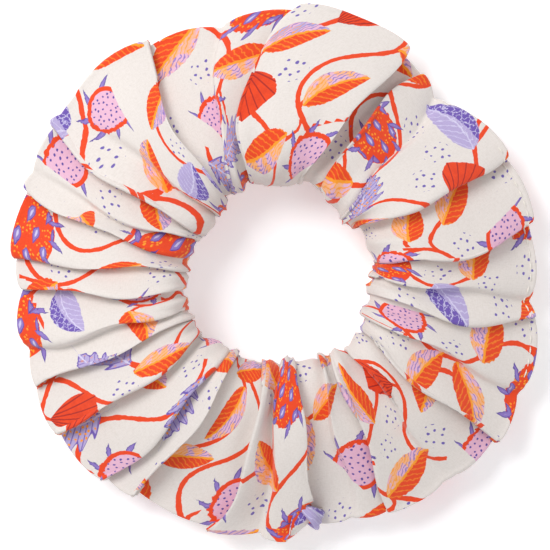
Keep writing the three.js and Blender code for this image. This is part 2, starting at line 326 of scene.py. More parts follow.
    def column(self, angle, height, reach, bore):
        """One line of places round the tube, in mm."""
        share, up = (self.valley + (self.ridge - self.valley) * height[:, None]).T
        radius = bore + share * (reach - bore)
        off_middle = 1 - np.clip(share, 0, 1)
        flat = radius[:, None] * toward(angle) + off_middle[:, None] * HOLE_SHIFT
        return np.column_stack([flat, np.maximum(up, TABLE_GAP)])

    def normals(self, row):
        """The outward direction at each column of a row."""
        ahead = np.roll(self.grid[:, row], -1, axis=0) - np.roll(self.grid[:, row], 1, axis=0)
        around = self.grid[:, (row + 1) % self.rows] - self.grid[:, row - 1]
        outward = np.cross(around, ahead)
        return outward / np.linalg.norm(outward, axis=1)[:, None]

    def measure_cloth(self):
        """Distances along the strip and round the tube, in mm."""
        steps = np.linalg.norm(np.roll(self.grid, -1, axis=0) - self.grid, axis=2)
        self.along = running_total(np.median(steps[:, self.shares > SMOOTH_FROM], axis=1))
        steps = np.linalg.norm(np.roll(self.grid, -1, axis=1) - self.grid, axis=2)
        self.around = running_total(np.median(steps, axis=0))

    def seam_distances(self):
        """Distances round the tube from the outer edge's seam, before and after each strip of faces."""
        start, whole = self.around[self.tip_row], self.around[-1]
        lap = np.where(np.arange(self.rows) < self.tip_row, whole, 0)
        return self.around[:-1] - start + lap, self.around[1:] - start + lap


# ---- the print's layout --------------------------------------------------------------------------

LEAF, LILAC_LEAF, SPIKY_FRUIT, CUT_FRUIT, FAN_BUD, FEATHER, DOTS = range(1, 8)
# half the length and half the width of the oval that holds a motif, in mm at size 1
MOTIF_HALVES = {
    LEAF: (6.4, 3.9), LILAC_LEAF: (6.2, 3.9), SPIKY_FRUIT: (10.6, 9.4), CUT_FRUIT: (9.2, 8.4),
    FAN_BUD: (7.6, 6.4), FEATHER: (8.2, 4.8), DOTS: (3.9, 3.9),
}
PRINT_SEED = 7
VINE_SPACING = 22.0 # mm between the main stems' feet
VINE_STEP = 0.5
VINE_MARGINS = (10, 20) # mm by which they go on before the strip's start and past its end
VINE_FOOT = -12.0 # mm: how far outside the strip they start
VINE_SCATTER = 4.0
VINE_LEAN = 0.08 # radians either way
VINE_SWING = 0.95 # radians that they wind to either side
VINE_WAVES = (46, 66) # mm from one winding to the next
TWIG_CLEARANCE = 0.80 # how far in a motif's oval, from 0 at its middle to 1, twigs may reach
OVAL_CLEARANCE = 0.96 # how far out in one motif's oval another's may begin
OVAL_STOPS = 14 # places tried round a motif's oval
PAINTED_SPAN = 1.4 # how far past its oval a motif is still painted
DOTS_CLEARANCE = 2.9 # mm from the middle of a cluster of dots to the nearest stem
TWIG_LEAST = 2.0 # mm of twig that always shows
TWIG_REACH = 22.0 # mm from a motif's middle within which a stem must pass
TWIG_TRIES = 3
TRIES_APART = 7.0 # mm along the stems from one try to the next
TWIG_BEND = 0.42 # how far a twig runs along its stem before it bends, as a share of the way to its motif
TWIG_TIP = 0.86 # where it ends, as a share of half the motif's length
SITE_PITCH = 5.0 # mm between the places where motifs are tried
SITE_MARGIN = 4.0 # mm by which those places go past the strip
SITE_SCATTER = 2.0
SIZE_SPREAD = (0.92, 1.12)
# kinds in turn, their size, and the least distance from any earlier motif's middle, in mm
PLANTING = [
    ((SPIKY_FRUIT, CUT_FRUIT, SPIKY_FRUIT, FAN_BUD, CUT_FRUIT), 1.05, 27.0),
    ((LEAF, LEAF, LILAC_LEAF, LEAF, LEAF, LEAF, FEATHER, LEAF, LEAF, LEAF, LILAC_LEAF, LEAF), 1.3, 13.5),
    ((DOTS,), 0.95, 7.5),
]
LOTS = 60 # the strip's faces are looked up in this many lots, to save memory


class PrintLayout:
    """The stems and motifs of the printed pattern, in mm on the flat strip."""

    def __init__(self, length, width):
        self.random = np.random.default_rng(PRINT_SEED)
        self.length = length
        self.width = width
        self.stems = []
        self.twigs = []
        self.kinds = np.empty(0) # each motif's kind, with its tint as the fraction
        self.sizes = np.empty(0)
        self.middles = np.empty((0, 2))
        self.halves = np.empty((0, 2))
        self.facings = np.empty(0)
        for foot in np.arange(-VINE_MARGINS[0], length + VINE_MARGINS[1], VINE_SPACING):
            self.grow_vine(foot)
        self.stem_places = np.concatenate(self.stems)
        self.stem_headings = np.concatenate([np.gradient(stem, axis=0) for stem in self.stems])
        for kinds, size, apart in PLANTING:
            self.plant(kinds, size, apart)

    def grow_vine(self, foot):
        """A winding main stem from one long edge of the strip to the other."""
        place = np.array([foot + self.random.uniform(-VINE_SCATTER, VINE_SCATTER), VINE_FOOT])
        lean = self.random.uniform(-VINE_LEAN, VINE_LEAN)
        wave = self.random.uniform(*VINE_WAVES)
        phase = self.random.uniform(0, 2 * math.pi)
        points = []
        for step in range(int(1.5 * self.width / VINE_STEP)):
            points.append(place.copy())
            winding = math.sin(2 * math.pi * step * VINE_STEP / wave + phase)
            place += VINE_STEP * toward(math.pi / 2 + lean + VINE_SWING * winding)
        self.stems.append(np.array(points))

    def sites(self):
        """Places all over the strip, in no order."""
        along, across = (np.arange(-SITE_MARGIN, side + SITE_MARGIN, SITE_PITCH)
                         for side in (self.length, self.width))
        places = np.stack(np.meshgrid(along, across), axis=-1).reshape(-1, 2)
        places = places + self.random.uniform(-SITE_SCATTER, SITE_SCATTER, places.shape)
        return self.random.permutation(places)

    def spans(self, places):
        """How far out each place lies in each motif's oval: 0 at its middle and 1 on its edge."""
        return np.linalg.norm(turned(places[:, None] - self.middles, -self.facings) / self.halves, axis=-1)

    def has_room(self, middle, halves, facing):
        turns = 2 * math.pi * np.arange(OVAL_STOPS) / OVAL_STOPS
        oval = middle + turned(halves * toward(turns), facing)
        return bool(np.all(self.spans(oval) > OVAL_CLEARANCE))

    def plant(self, kinds, size, apart):
        """Motifs wherever there is room, each on a twig from the nearest stem."""
        turn = 0
        for middle in self.sites():
            if np.any(np.linalg.norm(self.middles - middle, axis=1) < apart):
                continue
            kind = kinds[turn % len(kinds)]
            grown = size * self.random.uniform(*SIZE_SPREAD)
            if kind == DOTS:
                self.add_dots(middle, grown)
            elif self.add_twig(kind, middle, grown):
                turn += 1

    def add_twig(self, kind, middle, size):
        """A twig that leaves its stem along it and bends to the motif, if nothing is in its way."""
        halves = size * np.array(MOTIF_HALVES[kind])
        gaps = np.linalg.norm(self.stem_places - middle, axis=1)
        gaps[gaps < halves[0] + TWIG_LEAST] = np.inf
        for _ in range(TWIG_TRIES):
            nearest = int(np.argmin(gaps))
            if gaps[nearest] > TWIG_REACH:
                return False
            root = self.stem_places[nearest]
            heading = self.stem_headings[nearest] / np.linalg.norm(self.stem_headings[nearest])
            if heading @ (middle - root) < 0:
                heading = -heading
            bend = root + heading * TWIG_BEND * gaps[nearest]
            onward = (middle - bend) / np.linalg.norm(middle - bend)
            facing = math.atan2(onward[1], onward[0])
            tip = middle - onward * TWIG_TIP * halves[0]
            t = np.linspace(0, 1, int(gaps[nearest] / VINE_STEP))[:, None]
            path = evenly_spaced(root * (1 - t) ** 2 + bend * 2 * t * (1 - t) + tip * t ** 2)
            if self.has_room(middle, halves, facing) and np.all(self.spans(path) > TWIG_CLEARANCE):
                self.twigs.append(path)
                self.stem_places = np.concatenate([self.stem_places, path])
                self.stem_headings = np.concatenate([self.stem_headings, np.gradient(path, axis=0)])
                self.add_motif(kind, middle, facing, size)
                return True
            gaps[np.linalg.norm(self.stem_places - root, axis=1) < TRIES_APART] = np.inf
        return False

    def add_motif(self, kind, middle, facing, size):
        tint = self.random.uniform(0, 1)
        self.kinds = np.append(self.kinds, kind + 0.1 + 0.8 * tint)
        self.sizes = np.append(self.sizes, size)
        self.middles = np.concatenate([self.middles, [middle]])
        self.halves = np.concatenate([self.halves, [size * np.array(MOTIF_HALVES[kind])]])
        self.facings = np.append(self.facings, facing)

    def add_dots(self, middle, size):
        """A cluster of dots, where no stem runs through its middle."""
        clear = np.linalg.norm(self.stem_places - middle, axis=1).min()
        if clear > DOTS_CLEARANCE and self.has_room(middle, size * np.array(MOTIF_HALVES[DOTS]), 0):
            self.add_motif(DOTS, middle, self.random.uniform(0, 2 * math.pi), size)

    def motif_places(self, corners):
        """Each corner's place on its face's nearest motif, and the motif's kind with its tint."""
        centres = corners.mean(axis=1)
        nearest = np.zeros(len(centres), int)
        kinds = np.zeros(len(centres))
        for some in np.array_split(np.arange(len(centres)), LOTS):
            spans = self.spans(centres[some])
            nearest[some] = spans.argmin(axis=1)
            kinds[some] = np.where(spans.min(axis=1) < PAINTED_SPAN, self.kinds[nearest[some]], 0)
        offsets = (corners - self.middles[nearest][:, None]) / self.sizes[nearest][:, None, None]
        places = turned(offsets, -self.facings[nearest][:, None])
        return np.dstack([places, np.broadcast_to(kinds[:, None], corners.shape[:2])])


def evenly_spaced(path):
    """The same path with its points a vine's step apart."""
    distances = distances_along(path)
    return points_at(np.arange(0, distances[-1] + VINE_STEP, VINE_STEP), distances, path)


FAR = 9.0 # the distance written where no stem is near, in mm
STEM_SEEN = 3.0 # mm from a stem's middle line within which distances are written
STEM_END = 0.9 # mm past a stem's end within which they are


def distances_to(lines, corners):
    """Each corner's signed distance from the stem that is nearest to its face, in mm."""
    places = np.concatenate(lines)
    tangents = np.concatenate([np.gradient(line, axis=0) for line in lines])
    tangents /= np.maximum(np.linalg.norm(tangents, axis=1), 0.01)[:, None]
    at_end = np.concatenate([np.arange(len(line)) % (len(line) - 1) == 0 for line in lines])
    tree = kdtree.KDTree(len(places))
    for index, place in enumerate(places):
        tree.insert((place[0], place[1], 0), index)
    tree.balance()
    centres = corners.mean(axis=1)
    nearest = np.array([tree.find((x, y, 0))[1] for x, y in centres])
    offsets = corners - places[nearest][:, None]
    tangent = tangents[nearest][:, None]
    across = tangent[..., 0] * offsets[..., 1] - tangent[..., 1] * offsets[..., 0]
    beyond = at_end[nearest] & (np.linalg.norm(centres - places[nearest], axis=1) > STEM_END)
    across[beyond | (np.abs(across).min(axis=1) > STEM_SEEN)] = FAR
    return across


# ---- materials -----------------------------------------------------------------------------------


def colour(red, green, blue):
    """A shader colour from red, green and blue as 0 to 255 on a screen."""
    def linear(level):
        level /= 255
        return level / 12.92 if level <= 0.04045 else ((level + 0.055) / 1.055) ** 2.4
    return (linear(red), linear(green), linear(blue), 1.0)


def operation(kind, swapped=False):
    """A method that does this sum on a wire and the values given to it."""
    def result(wire, *others):
        return wire.math(kind, *((*others, wire) if swapped else (wire, *others)))
    return result


class Wire:
    """One value in a material, on which sums are written as Python sums."""

    def __init__(self, recipe, socket):
        self.recipe = recipe
        self.socket = socket

    def math(self, kind, *values, clamp=False):
        return self.recipe.add("ShaderNodeMath", {"operation": kind, "use_clamp": clamp},
                               dict(enumerate(values)))

    __add__ = __radd__ = operation("ADD")
    __mul__ = __rmul__ = operation("MULTIPLY")
    __sub__ = operation("SUBTRACT")
    __rsub__ = operation("SUBTRACT", swapped=True)
    __truediv__ = operation("DIVIDE")
    __pow__ = operation("POWER")
    __abs__ = operation("ABSOLUTE")
    least = operation("MINIMUM")
    most = operation("MAXIMUM")
    sine = operation("SINE")
    arctangent = operation("ARCTAN2")
    root = operation("SQRT")
    floor = operation("FLOOR")
    fraction = operation("FRACT")
    near = operation("COMPARE")

    def repeats(self, pitch):
        """Distance to the nearest multiple of pitch."""
        return self.math("PINGPONG", self, pitch / 2)

    def filled(self, soft=0.10):
        """1 where the value is above zero, 0 where it is below, with a painted edge between."""
        return self.math("MULTIPLY_ADD", self, 1 / soft, 0.5, clamp=True)


class Recipe:
    """A material that is written as Python sums."""

    def __init__(self, name):
        self.material = bpy.data.materials.new(name)
        self.material.use_nodes = True
        self.tree = self.material.node_tree
        self.tree.nodes.clear()

    def add(self, kind, settings=None, sockets=None, output=0):
        """A node of this kind, with its settings, then its sockets' values or wires."""
        node = self.tree.nodes.new(kind)
        for name, value in (settings or {}).items():
            setattr(node, name, value)
        for name, value in (sockets or {}).items():
            if isinstance(value, Wire):
                self.tree.links.new(value.socket, node.inputs[name])
            else:
                node.inputs[name].default_value = value
        return Wire(self, node.outputs[output]) if node.outputs else None

    def mix(self, factor, first, second, blend="MIX"):
        """Two colours mixed by a factor from 0, all the first, to 1, all the second."""
        settings = {"data_type": "RGBA", "blend_type": blend}
        return self.add("ShaderNodeMix", settings, {0: factor, 6: first, 7: second}, 2)

    def vector(self, x, y):
        return self.add("ShaderNodeCombineXYZ", sockets={0: x, 1: y})

    def parts(self, vector):
        """The x, y and z of a vector."""
        split = self.add("ShaderNodeSeparateXYZ", sockets={0: vector}).socket.node
        return [Wire(self, socket) for socket in split.outputs]

    def noise(self, vector, scale, detail=2.0):
        """Noise on a flat map."""
        return self.add("ShaderNodeTexNoise", {"noise_dimensions": "2D"},
                        {"Vector": vector, "Scale": scale, "Detail": detail})

    def grain(self, scale, detail):
        """Noise all through the space round a piece."""
        place = self.add("ShaderNodeTexCoord", output=3)
        return self.add("ShaderNodeTexNoise", sockets={"Vector": place, "Scale": scale, "Detail": detail})

    def bump(self, height, strength, distance=MM):
        return self.add("ShaderNodeBump",
                        sockets={"Strength": strength, "Distance": distance, "Height": height})

    def spots(self, vector, pitch, jitter):
        """Distance in mm from the nearest of a scatter of points about pitch apart."""
        found = self.add("ShaderNodeTexVoronoi", {"voronoi_dimensions": "2D"},
                         {"Vector": vector, "Scale": 1 / pitch, "Randomness": jitter})
        return found * pitch

    def finish(self, **sockets):
        """Ends the recipe in a Principled shader with these sockets."""
        named = {name.replace("_", " "): value for name, value in sockets.items()}
        shader = self.add("ShaderNodeBsdfPrincipled", sockets=named)
        self.add("ShaderNodeOutputMaterial", sockets={"Surface": shader})
        return self.material


# ---- the printed cotton --------------------------------------------------------------------------

WHITE = colour(255, 255, 255)
CREAM = colour(230, 222, 216)
ORANGE_RED = colour(236, 72, 30)
DEEP_RED = colour(196, 44, 24)
RIB_RED = colour(168, 40, 34)
AMBER = colour(252, 160, 44)
LILAC = colour(184, 170, 214)
PALE_LILAC = colour(214, 208, 236)
PURPLE = colour(112, 88, 176)
DARK_PURPLE = colour(92, 72, 156)
VIOLET = colour(142, 120, 194)
DOT_PURPLE = colour(112, 96, 176)
PINK = colour(232, 184, 208)
PEACH = colour(252, 184, 136)

STEM_WIDTH = 1.25 # mm
TWIG_WIDTH = 1.05
DROP_ROWS = 3.7 # mm from one row of drops on a spiky fruit to the next
DROP_PITCH = 5.4 # mm from one drop to the next in a row
DROP_SHIFT = 2.6 # mm that each row lies past the last one


class PrintedCotton(Recipe):
    """Paints each motif on the cloth, in mm on the motif."""

    def __init__(self, look):
        super().__init__("printed_cotton")
        self.cloth = self.add("ShaderNodeUVMap", {"uv_map": "Cloth"})
        self.wander = self.noise(self.cloth, 0.9) - 0.5
        self.patches = self.noise(self.cloth, 0.35)
        x, y, self.kind = self.parts(self.add("ShaderNodeAttribute", {"attribute_name": "motif"}, output=1))
        self.tint = self.kind.fraction()
        self.x = x + self.wander * 0.5
        self.y = y - self.wander * 0.5
        self.place = self.vector(self.x, self.y)
        self.ground, self.red, self.lilac = (tuple(ink) for ink in (look.ground, look.red, look.lilac))
        self.colour = self.ground

    def lay(self, mask, ink):
        self.colour = self.mix(mask, self.colour, ink)

    def only(self, kind):
        """1 on motifs of this kind."""
        return self.kind.near(kind + 0.5, 0.49)

    def stems(self):
        for name, width in (("stem", STEM_WIDTH), ("twig", TWIG_WIDTH)):
            across = self.add("ShaderNodeAttribute", {"attribute_name": name}, output=2)
            thickness = self.patches * 0.5 + (width / 2 - 0.25)
            self.lay((thickness - abs(across + self.wander * 0.25)).filled(), self.red)

    def leaf_body(self, half_length, half_width, bow):
        """Distance inside a leaf's outline, and across it from its curved midrib."""
        across = self.y - self.x * self.x * bow + bow * half_length
        span = self.x / half_length
        width = (1 - span * span).most(0) ** 0.8 * (1 - span * 0.25) * half_width
        return width - abs(across) - 0.06, across

    def two_tone_leaf(self):
        inside, across = self.leaf_body(6.2, 3.1, 0.022)
        leaf = inside.filled() * self.only(LEAF)
        veins = (0.14 - (self.x - abs(across) * 0.9).repeats(1.25)).filled(0.16)
        upper = self.mix(veins * 0.55, self.red, AMBER)
        self.lay(leaf, upper)
        pale = self.mix((self.tint - 0.3).filled(), self.lilac, PEACH)
        pale = self.mix((self.patches - 0.52).filled(0.08), pale, PINK)
        strokes = self.x * 0.62 + across * 1.5 + self.patches * 3.0
        scribble = (0.17 - strokes.repeats(1.15)).filled(0.14)
        ink = self.mix((self.patches + self.x * 0.04 - 0.5).filled(0.05), AMBER, VIOLET)
        pale = self.mix(scribble * 0.9, pale, ink)
        self.lay(leaf * (0 - across).filled(), pale)
        self.lay(leaf * (0.24 - abs(across)).filled(), AMBER)

    def lilac_leaf(self):
        inside, across = self.leaf_body(6.0, 3.2, -0.026)
        leaf = inside.filled() * self.only(LILAC_LEAF)
        self.lay(leaf, self.lilac)
        veins = (0.11 - (self.x - abs(across) * 1.1 + self.wander * 1.2).repeats(1.5)).filled(0.12)
        self.lay(leaf * veins * 0.85, PALE_LILAC)
        netting = (self.x + across * 1.1 + self.wander * 2.5).repeats(1.5)
        netting = netting.least((self.x - across * 0.9 - self.wander * 2.5).repeats(1.7))
        dark = self.mix((0.10 - netting).filled(0.12) * 0.9, PURPLE, PALE_LILAC)
        self.lay(leaf * (across + self.x * 0.15 - 0.7).filled(), dark)
        self.lay(leaf * (0.12 - abs(across)).filled(), PALE_LILAC)

    def fruit_body(self, radius, narrowing):
        """Distance inside a fruit's outline, and the angle from its middle."""
        distance = (self.x * self.x + self.y * self.y * narrowing).root()
        angle = self.y.arctangent(self.x)
        outline = (angle * 3).sine() * 0.35 + self.wander * 0.8 + radius
        return outline - distance, angle

    def drops(self, x, y, half_width, half_length):
        """Distance inside a drop that is blunt at one end and sharp at the other."""
        span = x / half_length
        return (1 - span * span).most(0) * (1 - span * 0.7) * half_width - abs(y) - 0.06

    def spikes(self, inside, angle, count, radius):
        """Distance inside the purple spikes that stand round a fruit."""
        turn = (angle * (count / (2 * math.pi)) + 0.25).fraction() - 0.5
        sideways = turn * (2 * math.pi / count * radius) + inside * 0.45
        return self.drops(-1.0 * inside - 0.9, sideways, 0.72, 2.5)

    def lay_drops(self, here, drops):
        """Purple drops with a darker outline and a white streak."""
        self.lay(here * drops.filled(), DARK_PURPLE)
        self.lay(here * (drops - 0.2).filled(), VIOLET)
        self.lay(here * (drops - 0.72).filled(0.14) * 0.85, PALE_LILAC)

    def spiky_fruit(self):
        inside, angle = self.fruit_body(7.8, 1.3)
        here = self.only(SPIKY_FRUIT)
        spikes = self.spikes(inside, angle, 9, 8.0)
        self.lay(here * inside.filled(), self.red)
        seeds = self.spots(self.place, 0.95, 0.8)
        seeds = (0.24 - seeds).filled() * (self.patches - 0.5).filled(0.05)
        self.lay(here * inside.filled() * seeds, AMBER)
        rows = self.y / DROP_ROWS
        x = (self.x + rows.floor() * DROP_SHIFT + 1.1) / DROP_PITCH
        x = x.fraction() * DROP_PITCH - DROP_PITCH / 2
        y = rows.fraction() * DROP_ROWS - DROP_ROWS / 2 + x * 0.25
        self.lay_drops(here, self.drops(x, y, 0.95, 2.05).least(inside - 0.2).most(spikes))

    def cut_fruit(self):
        inside, angle = self.fruit_body(6.3, 1.15)
        here = self.only(CUT_FRUIT)
        self.lay_drops(here, self.spikes(inside, angle, 8, 6.6))
        self.lay(here * inside.filled(), self.red)
        flesh = (inside - 1.15).filled() * here
        self.lay(flesh, PINK)
        pips = self.spots(self.place, 1.45, 0.55)
        self.lay(flesh * (0.27 - pips).filled(), DARK_PURPLE)
        self.lay(here * (self.x - 3.4).filled() * (inside + 3).filled(), self.ground)

    def fan_bud(self):
        here = self.only(FAN_BUD)
        rise = (self.x - 1.6) / 8.6
        width = (1 - rise * rise).most(0) * 5.9
        crown = 5.4 - self.x - self.y * self.y * 0.02
        bud = (width - abs(self.y)).least(crown).filled() * here
        fan = self.y.arctangent(self.x + 9.0)
        ribs = (fan + self.wander * 0.03).repeats(0.17) * (self.x + 9.0)
        self.lay(bud, self.red)
        self.lay(bud * (self.patches - 0.55).filled(0.3) * 0.35, DEEP_RED)
        self.lay(bud * (0.14 - ribs).filled(0.14), RIB_RED)

    def feather(self):
        here = self.only(FEATHER)
        span = self.x / 8.0
        lobes = ((self.x - abs(self.y) * 0.9) * 2.3).sine() * 0.22 + 1
        inside = (1 - span * span).most(0) * lobes * 4.0 - abs(self.y)
        self.lay(here * inside.filled(), PURPLE)
        self.lay(here * (inside - 0.32).filled(), self.lilac)
        barbs = (0.14 - (self.x - abs(self.y) * 0.9 + 0.7).repeats(1.36)).filled(0.12)
        self.lay(here * barbs * (inside - 0.2).filled() * 0.8, PURPLE)
        self.lay(here * (0.16 - abs(self.y)).least(inside).filled(), PALE_LILAC)
        seeds = self.spots(self.place, 1.2, 0.8)
        self.lay(here * (inside - 0.5).filled() * (0.24 - seeds).filled() * (self.tint - 0.4).filled(), AMBER)

    def dots(self):
        spots = self.spots(self.place, 2.15, 0.75)
        cluster = 3.6 - (self.x * self.x + self.y * self.y).root()
        size = self.patches * 0.5 + 0.13
        self.lay(self.only(DOTS) * (size - spots).filled() * cluster.filled(), DOT_PURPLE)


YARN_PITCH = 0.34 # mm from one yarn to the next
WEAVE_HEIGHT = 0.03


def printed_cotton(look):
    """Plain-weave cotton with the print on it."""
    cotton = PrintedCotton(look)
    cotton.stems()
    cotton.dots()
    cotton.lilac_leaf()
    cotton.two_tone_leaf()
    cotton.feather()
    cotton.fan_bud()
    cotton.cut_fruit()
    cotton.spiky_fruit()
    along, across, _ = cotton.parts(cotton.cloth)
    slubs = cotton.noise(cotton.vector(along * 0.9, across * 3.2), 1.0)
    slubs = slubs + cotton.noise(cotton.vector(along * 3.2, across * 0.9), 1.0)
    shade = cotton.mix((slubs - 0.8) * 0.6, WHITE, colour(226, 222, 216))
    inked = cotton.mix(0.8, cotton.colour, shade, "MULTIPLY")
    warp, weft = ((side * (2 * math.pi / YARN_PITCH)).sine() for side in (along, across))
    bump = cotton.bump(warp * weft * WEAVE_HEIGHT + slubs * 0.05, 0.5)
    return cotton.finish(Base_Color=inked, Roughness=0.86 - cotton.patches * 0.12, Normal=bump,
                         Sheen_Weight=0.25, Sheen_Roughness=0.5, Specular_IOR_Level=0.25)


# ---- making meshes -------------------------------------------------------------------------------


def new_piece(name, places, faces, material):
    """A smooth mesh object at the origin, from places in mm."""
    mesh = bpy.data.meshes.new(name)
    mesh.from_pydata((np.asarray(places) * MM).tolist(), [], faces)
    mesh.materials.append(material)
    mesh.shade_smooth()
    piece = bpy.data.objects.new(name, mesh)
    bpy.context.scene.collection.objects.link(piece)
    return piece


def apply_modifiers(piece):
    bpy.ops.object.select_all(action="DESELECT")
    piece.select_set(True)
    bpy.context.view_layer.objects.active = piece
    for modifier in list(piece.modifiers):
        bpy.ops.object.modifier_apply(modifier=modifier.name)


def spread_over_joint(piece, slot, *nodes):
    """The piece stretches across the joint and stands for these nodes, whose parts are hidden; its transform
    is baked into its mesh. slot is not used.
    """
    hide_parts(*nodes)
    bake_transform(piece)


def corner_values(columns, rows, at_column, at_row):
    """Pairs for the four corners of every face of a grid, from its lines' values either side."""
    left, right = at_column
    below, above = at_row
    first = np.stack([left, left, right, right], axis=-1)[:, None]
    second = np.stack([below, above, above, below], axis=-1)[None]
    both = np.broadcast_arrays(first, second)
    return np.stack(both, axis=-1).reshape(columns * rows, 4, 2)


def grid_faces(columns, rows, closed):
    """The faces of a tube of places, column after column, whose last column may meet its first."""
    faces = []
    for column in range(columns if closed else columns - 1):
        first, ahead = column * rows, (column + 1) % columns * rows
        for row in range(rows):
            above = (row + 1) % rows
            faces.append((first + row, first + above, ahead + above, ahead + row))
    return faces


def two_ply_section(radius, sides=10):
    """The outline of two strands lying against each other."""
    turns = 2 * math.pi * np.arange(sides) / sides
    width = radius * (0.72 + 0.28 * np.abs(np.cos(turns)))
    return width[:, None] * toward(turns)


def swept(path, section, up, closed=False, twist=0.0, taper=1.0):
    """Places and faces of a section carried along a path, turned by twist radians for each mm."""
    if closed:
        tangents = np.roll(path, -1, axis=0) - np.roll(path, 1, axis=0)
    else:
        tangents = np.gradient(path, axis=0)
    tangents /= np.linalg.norm(tangents, axis=1)[:, None]
    up = np.broadcast_to(up, path.shape)
    over = up - (up * tangents).sum(axis=1)[:, None] * tangents
    over /= np.linalg.norm(over, axis=1)[:, None]
    aside = np.cross(tangents, over)
    distances = distances_along(path)
    if closed:
        whole = distances[-1] + np.linalg.norm(path[0] - path[-1])
        twist = round(twist * whole / math.pi) * math.pi / whole
    sizes = np.broadcast_to(taper, len(path))[:, None, None]
    sections = turned(section, twist * distances[:, None]) * sizes
    places = path[:, None] + sections[..., :1] * aside[:, None] + sections[..., 1:] * over[:, None]
    sides = len(section)
    faces = grid_faces(len(path), sides, closed)
    if not closed:
        last = (len(path) - 1) * sides
        faces += [tuple(reversed(range(sides))), tuple(range(last, last + sides))]
    return places.reshape(-1, 3), faces


def joined(shapes):
    """Several lots of places and faces as one."""
    places, faces = [], []
    for some_places, some_faces in shapes:
        first = sum(len(lot) for lot in places)
        faces += [tuple(first + corner for corner in face) for face in some_faces]
        places.append(some_places)
    return np.concatenate(places), faces


def resampled(path, step, closed=False):
    """The same path with its points a step apart."""
    if closed:
        path = np.concatenate([path, path[:1]])
    distances = distances_along(path)
    wanted = np.linspace(0, distances[-1], round(distances[-1] / step), endpoint=not closed)
    return points_at(wanted, distances, path)


# ---- the cover -----------------------------------------------------------------------------------

BAKE_ROWS = 3 # the strip is folded into this many rows on the square map that holds its finish
BAKE_EDGE = 0.004

TUBE = ClothTube()


def build_cover(cloth):
    """The gathered and pleated tube of printed cotton."""
    columns, rows = TUBE.grid.shape[:2]
    faces = grid_faces(columns, rows, closed=True)
    cover = new_piece("scrunchie_cover", TUBE.grid.reshape(-1, 3), faces, printed_cotton(cloth))
    mesh = cover.data
    along = TUBE.along[:-1], TUBE.along[1:]
    strip = corner_values(columns, rows, along, TUBE.seam_distances())
    write_map(mesh, "Cloth", strip)
    write_map(mesh, "OFBake", baking_places(columns, rows))
    layout = PrintLayout(TUBE.along[-1], TUBE.around[-1])
    write_attribute(mesh, "motif", "FLOAT_VECTOR", "vector", layout.motif_places(strip))
    write_attribute(mesh, "stem", "FLOAT", "value", distances_to(layout.stems, strip))
    write_attribute(mesh, "twig", "FLOAT", "value", distances_to(layout.twigs, strip))
    wall = cover.modifiers.new("cloth_thickness", "SOLIDIFY")
    wall.thickness = cloth.thickness
    wall.offset = -1
    apply_modifiers(cover)
    spread_over_joint(cover, "printed_cotton", "cover_left", "cover_right")


def write_map(mesh, name, places):
    layer = mesh.uv_layers.new(name=name, do_init=False)
    layer.uv.foreach_set("vector", places.astype(np.float32).ravel())


def write_attribute(mesh, name, kind, field, values):
    attribute = mesh.attributes.new(name, kind, "CORNER")
    attribute.data.foreach_set(field, values.astype(np.float32).ravel())


def baking_places(columns, rows):
    """The strip folded into rows that fill a square map."""
    row = np.arange(columns) * BAKE_ROWS // columns
    start = TUBE.along[[np.argmax(row == number) for number in row]]
    end = TUBE.along[[columns - np.argmax(row[::-1] == number) for number in row]]
    left, right = ((TUBE.along[edge:columns + edge] - start) / (end - start) for edge in (0, 1))
    span = 1 - 2 * BAKE_EDGE
    lines = np.arange(rows + 1) / rows
    square = corner_values(columns, rows, (left, right), (lines[:-1], lines[1:]))
    square = BAKE_EDGE + span * square
    square[..., 1] = (square[..., 1] + np.repeat(row, rows)[:, None]) / BAKE_ROWS
    return square


# ---- the elastic ---------------------------------------------------------------------------------

ELASTIC_RIBS = 9
RIB_STOPS = 4 # places across each rib
RIB_DEPTH = 0.14 # mm
EDGE_SHARPNESS = 12 # the higher, the squarer the band's edges
EDGE_LEAST = 0.08 # how thin the edges may get, as a share of the thickness squared
JOIN_ANGLE = -28.0 # where the band's ends are sewn together, in degrees
JOIN_OVERLAP = 12.0
PLY_GAP = 0.15
BAND_STEP = 0.6
BAND_CLEARANCE = 0.9 # mm between the band and the cloth that it gathers
GATHER_REACH = math.radians(9) # to either side, within which the deepest gather counts
SMOOTHED_OVER = 1.5 * GATHER_REACH # to either side, over which the band evens the gathers out
SMOOTHING_STOPS = 9


def gathered_radius(angles):
    """How far the gathers' valleys stand from the hole's middle at these angles, in mm."""
    inner = TUBE.grid[:, 0, :2] - HOLE_SHIFT
    radius = np.hypot(*inner.T)
    turn = np.arctan2(inner[:, 1], inner[:, 0])
    apart = np.abs((angles[:, None] - turn[None] + math.pi) % (2 * math.pi) - math.pi)
    return np.where(apart < GATHER_REACH, radius[None], 0).max(axis=1)


def band_path(thickness):
    """The band's middle line, in mm, from its inner end to its outer end, just behind the gathers."""
    radius = -ELASTIC_LOW.x / MM
    half_lap = math.degrees(JOIN_OVERLAP / 2 / radius)
    count = round(2 * math.pi * radius / BAND_STEP)
    share = np.linspace(0, 1, count)
    angle = np.radians(JOIN_ANGLE - half_lap + (360 + 2 * half_lap) * share)
    nearby = np.linspace(-SMOOTHED_OVER, SMOOTHED_OVER, SMOOTHING_STOPS)
    around = np.mean([gathered_radius(angle + offset) for offset in nearby], axis=0)
    around = around + BAND_CLEARANCE + thickness + share * (thickness + PLY_GAP)
    middle = (ELASTIC_LOW.z + ELASTIC_HIGH.z) / 2 / MM
    return np.column_stack([HOLE_SHIFT + around[:, None] * toward(angle), np.full(count, middle)])


